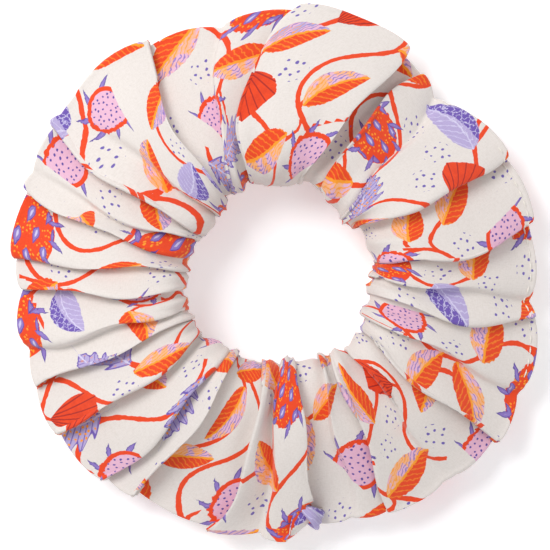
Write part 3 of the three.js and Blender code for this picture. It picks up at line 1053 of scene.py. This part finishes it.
def ribbed_section(width, thickness):
    """A flat band's outline with a rounded rib for each cord that it is braided from."""
    height = np.linspace(-0.5, 0.5, ELASTIC_RIBS * RIB_STOPS + 1)
    ribs = RIB_DEPTH * (np.abs(np.sin(math.pi * ELASTIC_RIBS * (height + 0.5))) - 1)
    rounding = np.sqrt(np.clip(1 - (2 * np.abs(height)) ** EDGE_SHARPNESS, EDGE_LEAST, 1))
    one_face = np.stack([(thickness / 2 + ribs) * rounding, height * width], axis=-1)
    return np.concatenate([one_face, one_face[::-1] * (-1, 1)])


def build_elastic(look):
    """The flat braided elastic that gathers the tube."""
    recipe = Recipe("braided_elastic")
    place = recipe.add("ShaderNodeUVMap", {"uv_map": "Band"})
    along, across, _ = recipe.parts(place)
    braid = (along - abs(across - 3.5) * 0.6).repeats(1.1)
    fibres = recipe.noise(recipe.vector(along * 6.0, across * 1.2), 1.0)
    # painted shade: the band's colour turns grey along the grooves between the braid's cords
    shade = recipe.mix((0.22 - braid).filled(0.3) * 0.5, tuple(look.colour), colour(176, 172, 164))
    shade = recipe.mix(fibres * 0.35, shade, colour(250, 248, 242))
    bump = recipe.bump(braid * 0.35 + fibres * 0.08, 0.7)
    material = recipe.finish(Base_Color=shade, Roughness=0.7 + fibres * 0.2, Normal=bump,
                             Sheen_Weight=0.15, Specular_IOR_Level=0.3)
    width = (ELASTIC_HIGH.z - ELASTIC_LOW.z) / MM
    section = ribbed_section(width, look.thickness / MM)
    places, faces = swept(band_path(look.thickness / MM), section, (0, 0, 1))
    band = new_piece("elastic_band", places, faces, material)
    sides = len(section)
    corners = np.array([corner for face in faces for corner in face])
    write_map(band.data, "Band", np.stack([corners // sides * BAND_STEP, places[corners][:, 2]], axis=-1))
    spread_over_joint(band, "braided_elastic", "elastic_left", "elastic_upper_end", "elastic_lower_end")


# ---- the threads ---------------------------------------------------------------------------------

THREAD_RADIUS = 0.2 # mm
THREAD_TWIST = 5.2 # radians for each mm
THREAD_STEP = 0.4
SEAM_DEPTH = 3.0 # mm from the outer edge to the long seam
SEAM_INSET = 0.8 # mm from the cloth to the end seam inside it
EDGE_STITCH_DEPTH = 1.9
EDGE_STITCH_FROM, EDGE_STITCH_TO = -22.0, 32.0 # degrees
STITCH_RADIUS = 1.15 * THREAD_RADIUS
STITCH_STOPS = 6 # places along a stitch
STITCH_LIFT = 0.16 # mm from its middle to the cloth
STITCH_SUNK = 0.096 # mm from its ends down into the cloth
STITCH_TIP = 0.45 # its ends' thickness, as a share of its middle's
STITCH_LENGTH = 2.1
STITCH_PITCH = 2.6
TACK_ROWS = 5
TACK_HEIGHT = 5.0
TACK_LENGTH = 8.0


def thread_material(name, thread):
    """Spun cotton thread: two strands, with a little fuzz."""
    recipe = Recipe(name)
    fuzz = recipe.grain(2200.0, 2.0)
    shade = recipe.mix(fuzz, tuple(thread.colour), colour(252, 248, 240))
    return recipe.finish(Base_Color=shade, Roughness=0.65 + fuzz * 0.25,
                         Normal=recipe.bump(fuzz, 0.4, 0.1 * MM), Sheen_Weight=0.3, Specular_IOR_Level=0.3)


def new_thread(name, material_name, thread, shapes, *nodes):
    places, faces = joined(shapes)
    piece = new_piece(name, places, faces, thread_material(material_name, thread))
    spread_over_joint(piece, "thread", *nodes)


def row_inside(depth, side):
    """The row that lies this far from the outer edge, on the top with side -1 and below with +1."""
    edge = TUBE.around[TUBE.tip_row]
    return int(np.argmin(np.abs(TUBE.around[:-1] - edge - side * depth)))


def seam_thread(line, up):
    """A thread that runs round and round along a closed line of the cloth."""
    path = resampled(line, THREAD_STEP, closed=True)
    return swept(path, two_ply_section(THREAD_RADIUS), up, closed=True, twist=THREAD_TWIST)


def build_long_seam(thread):
    """The seam that closes the strip into a tube, between its two layers near the outer edge."""
    above, below = (TUBE.grid[:, row_inside(SEAM_DEPTH, side)] for side in (-1, 1))
    new_thread("long_seam_thread", "seam_thread", thread, [seam_thread((above + below) / 2, (0, 0, 1))],
               "long_seam_left", "long_seam_upper", "long_seam_lower")


def build_end_seam(thread):
    """The seam round the tube that joins the strip's two ends."""
    ring = TUBE.grid[0]
    outward = ring - ring.mean(axis=0)
    inset = ring - outward * (SEAM_INSET / np.linalg.norm(outward, axis=1))[:, None]
    along = np.cross((0, 0, 1), outward[TUBE.tip_row])
    new_thread("end_seam_thread", "end_seam_thread", thread, [seam_thread(inset, along)], "end_seam")


def edge_stitch(start, row):
    """One stitch along a row of the cloth, with its ends thinner and sunk in."""
    share = np.linspace(0, 1, STITCH_STOPS)
    bow = np.sin(math.pi * share)
    middle, normal = (
        points_at(start + share * STITCH_LENGTH, TUBE.along[:-1], lines, TUBE.along[-1])
        for lines in (TUBE.grid[:, row], TUBE.normals(row)))
    path = middle + normal * (bow * (STITCH_LIFT + STITCH_SUNK) - STITCH_SUNK)[:, None]
    taper = STITCH_TIP + (1 - STITCH_TIP) * bow
    return swept(path, two_ply_section(STITCH_RADIUS, 8), normal, twist=THREAD_TWIST / 2, taper=taper)


def build_closing_topstitch(thread):
    """The stitches that close the turning gap, seen on both faces of the outer edge."""
    edge = TUBE.grid[:, TUBE.tip_row]
    angle = np.degrees(np.arctan2(edge[:, 1], edge[:, 0]))
    inside = (angle > EDGE_STITCH_FROM) & (angle < EDGE_STITCH_TO)
    half = len(inside) // 2
    last = TUBE.along[:half][inside[:half]].max()
    first = TUBE.along[half:-1][inside[half:]].min() - TUBE.along[-1]
    starts = np.arange(first, last, STITCH_PITCH)
    shapes = [edge_stitch(start, row_inside(EDGE_STITCH_DEPTH, side))
              for side in (-1, 1) for start in starts]
    new_thread("closing_topstitch", "topstitch", thread, shapes, "closing_stitch")


def build_elastic_tack(thread, thickness):
    """The zigzag that sews the band's overlapped ends together, on both of its faces."""
    path = band_path(thickness)
    overlap = round(JOIN_OVERLAP / BAND_STEP)
    margin = (JOIN_OVERLAP - TACK_LENGTH) / 2 / JOIN_OVERLAP
    shapes = []
    for ply, side in ((path[-overlap:], 1), (path[:overlap], -1)):
        wanted = np.linspace(margin, 1 - margin, 2 * TACK_ROWS) * (overlap - 1)
        points = points_at(wanted, np.arange(overlap), ply)
        radial = points * (1, 1, 0)
        radial /= np.linalg.norm(radial, axis=1)[:, None]
        points += side * radial * (thickness / 2 + 0.5 * THREAD_RADIUS)
        points[:, 2] += TACK_HEIGHT / 2 * np.where(np.arange(len(points)) % 2, 1, -1)
        zigzag = resampled(points, THREAD_STEP)
        shapes.append(swept(zigzag, two_ply_section(THREAD_RADIUS), np.cross((0, 0, 1), radial[0]),
                            twist=THREAD_TWIST))
    new_thread("elastic_tack_thread", "tack_thread", thread, shapes, "elastic_tack")


# ---- the stage -----------------------------------------------------------------------------------

FLOOR_SIZE = 3.0 # m
CAMERA_HEIGHT = 1.2
VIEW_WIDTH = 0.1359
SENSOR = 36.0 # mm
VIEW_CENTRE = (0.0, 0.0006)


def aim(thing, place, target):
    thing.location = place
    thing.rotation_euler = (Vector(target) - Vector(place)).to_track_quat("-Z", "Y").to_euler()
    bpy.context.scene.collection.objects.link(thing)


def build_stage(stage):
    """A pale floor, soft light from the upper left and a camera straight overhead."""
    recipe = Recipe("pale_floor")
    grain = recipe.grain(9.0, 3.0)
    shade = recipe.mix(grain, tuple(stage.floor), WHITE)
    material = recipe.finish(Base_Color=shade, Roughness=0.8 + grain * 0.1, Specular_IOR_Level=0.2,
                             Emission_Color=WHITE, Emission_Strength=stage.glow)
    bpy.ops.mesh.primitive_plane_add(size=FLOOR_SIZE)
    floor = bpy.context.object
    floor.name = "floor"
    floor.data.materials.append(material)
    lights = (("key", (-0.5, 0.45, 0.8), 0.5, stage.key), ("fill", (0.6, -0.3, 0.8), 0.8, stage.fill))
    for name, at, size, power in lights:
        lamp = bpy.data.lights.new(name, "AREA")
        lamp.size = size
        lamp.energy = power
        aim(bpy.data.objects.new(name, lamp), at, (0, 0, 0))
    scene = bpy.context.scene
    scene.world = bpy.data.worlds.new("studio")
    scene.world.use_nodes = True
    background = scene.world.node_tree.nodes["Background"]
    background.inputs["Color"].default_value = colour(246, 247, 250)
    background.inputs["Strength"].default_value = stage.room
    scene.view_settings.view_transform = "Standard"
    camera = bpy.data.cameras.new("camera")
    camera.sensor_width = SENSOR
    camera.lens = SENSOR * CAMERA_HEIGHT / VIEW_WIDTH
    overhead = bpy.data.objects.new("camera", camera)
    overhead.location = (*VIEW_CENTRE, CAMERA_HEIGHT)
    scene.collection.objects.link(overhead)
    scene.camera = overhead


# ---- the add-on ----------------------------------------------------------------------------------


def amount_property(name, description, default, unit="NONE"):
    return bpy.props.FloatProperty(name=name, description=description, default=default, unit=unit, min=0)


def colour_property(name, description, default):
    return bpy.props.FloatVectorProperty(name=name, description=description, default=default, size=4,
                                         subtype="COLOR", min=0, max=1)


class ScrunchieCloth(bpy.types.PropertyGroup):
    thickness: amount_property("Thickness", "Thickness of the cotton", 0.3 * MM, "LENGTH")
    ground: colour_property("Ground", "Colour of the cloth under the print", CREAM)
    red: colour_property("Red ink", "Colour of the stems, the fruits and half of each leaf", ORANGE_RED)
    lilac: colour_property("Lilac ink", "Colour of the lilac leaves and feathers", LILAC)


class ScrunchieElastic(bpy.types.PropertyGroup):
    thickness: amount_property("Thickness", "Thickness of the band", 1.0 * MM, "LENGTH")
    colour: colour_property("Colour", "Colour of the band", colour(238, 234, 226))


class ScrunchieThread(bpy.types.PropertyGroup):
    colour: colour_property("Colour", "Colour of the sewing thread", colour(236, 228, 216))


class ScrunchieStage(bpy.types.PropertyGroup):
    floor: colour_property("Floor", "Colour of the floor", colour(250, 250, 250))
    glow: amount_property("Floor glow", "How strongly the floor itself shines", 0.2)
    key: amount_property("Key light", "Power of the light from the upper left", 6.9, "POWER")
    fill: amount_property("Fill light", "Power of the light from the lower right", 1.6, "POWER")
    room: amount_property("Room light", "Strength of the light from all round", 0.58)


class ScrunchieSettings(bpy.types.PropertyGroup):
    cloth: bpy.props.PointerProperty(type=ScrunchieCloth)
    elastic: bpy.props.PointerProperty(type=ScrunchieElastic)
    thread: bpy.props.PointerProperty(type=ScrunchieThread)
    stage: bpy.props.PointerProperty(type=ScrunchieStage)


class SCRUNCHIE_OT_cover(bpy.types.Operator):
    """Builds the pleated cotton cover"""
    bl_idname = "scrunchie.cover"
    bl_label = "Cover"

    def execute(self, context):
        build_cover(context.scene.scrunchie.cloth)
        return {"FINISHED"}


class SCRUNCHIE_OT_elastic(bpy.types.Operator):
    """Builds the elastic band inside the cover"""
    bl_idname = "scrunchie.elastic"
    bl_label = "Elastic"

    def execute(self, context):
        build_elastic(context.scene.scrunchie.elastic)
        return {"FINISHED"}


class SCRUNCHIE_OT_threads(bpy.types.Operator):
    """Builds the seams, the closing topstitch and the elastic's tacking"""
    bl_idname = "scrunchie.threads"
    bl_label = "Threads"

    def execute(self, context):
        settings = context.scene.scrunchie
        build_long_seam(settings.thread)
        build_end_seam(settings.thread)
        build_closing_topstitch(settings.thread)
        build_elastic_tack(settings.thread, settings.elastic.thickness / MM)
        return {"FINISHED"}


class SCRUNCHIE_OT_stage(bpy.types.Operator):
    """Builds the floor, the lights and the camera"""
    bl_idname = "scrunchie.stage"
    bl_label = "Stage"

    def execute(self, context):
        build_stage(context.scene.scrunchie.stage)
        return {"FINISHED"}


class SCRUNCHIE_PT_panel(bpy.types.Panel):
    bl_idname = "SCRUNCHIE_PT_panel"
    bl_label = "Scrunchie"
    bl_space_type = "VIEW_3D"
    bl_region_type = "UI"
    bl_category = "Scrunchie"

    def draw(self, context):
        settings = context.scene.scrunchie
        for title, group in (("cover", settings.cloth), ("elastic", settings.elastic),
                             ("threads", settings.thread), ("stage", settings.stage)):
            box = self.layout.box()
            for name in group.bl_rna.properties.keys():
                if name not in ("rna_type", "name"):
                    box.prop(group, name)
            box.operator("scrunchie." + title)


CLASSES = (ScrunchieCloth, ScrunchieElastic, ScrunchieThread, ScrunchieStage, ScrunchieSettings,
           SCRUNCHIE_OT_cover, SCRUNCHIE_OT_elastic, SCRUNCHIE_OT_threads, SCRUNCHIE_OT_stage,
           SCRUNCHIE_PT_panel)


def register():
    for one in CLASSES:
        bpy.utils.register_class(one)
    bpy.types.Scene.scrunchie = bpy.props.PointerProperty(type=ScrunchieSettings)


def unregister():
    del bpy.types.Scene.scrunchie
    for one in reversed(CLASSES):
        bpy.utils.unregister_class(one)


def main():
    register()
    bpy.ops.scrunchie.cover()
    bpy.ops.scrunchie.elastic()
    bpy.ops.scrunchie.threads()
    bpy.ops.scrunchie.stage()


if __name__ == "__main__":
    main()
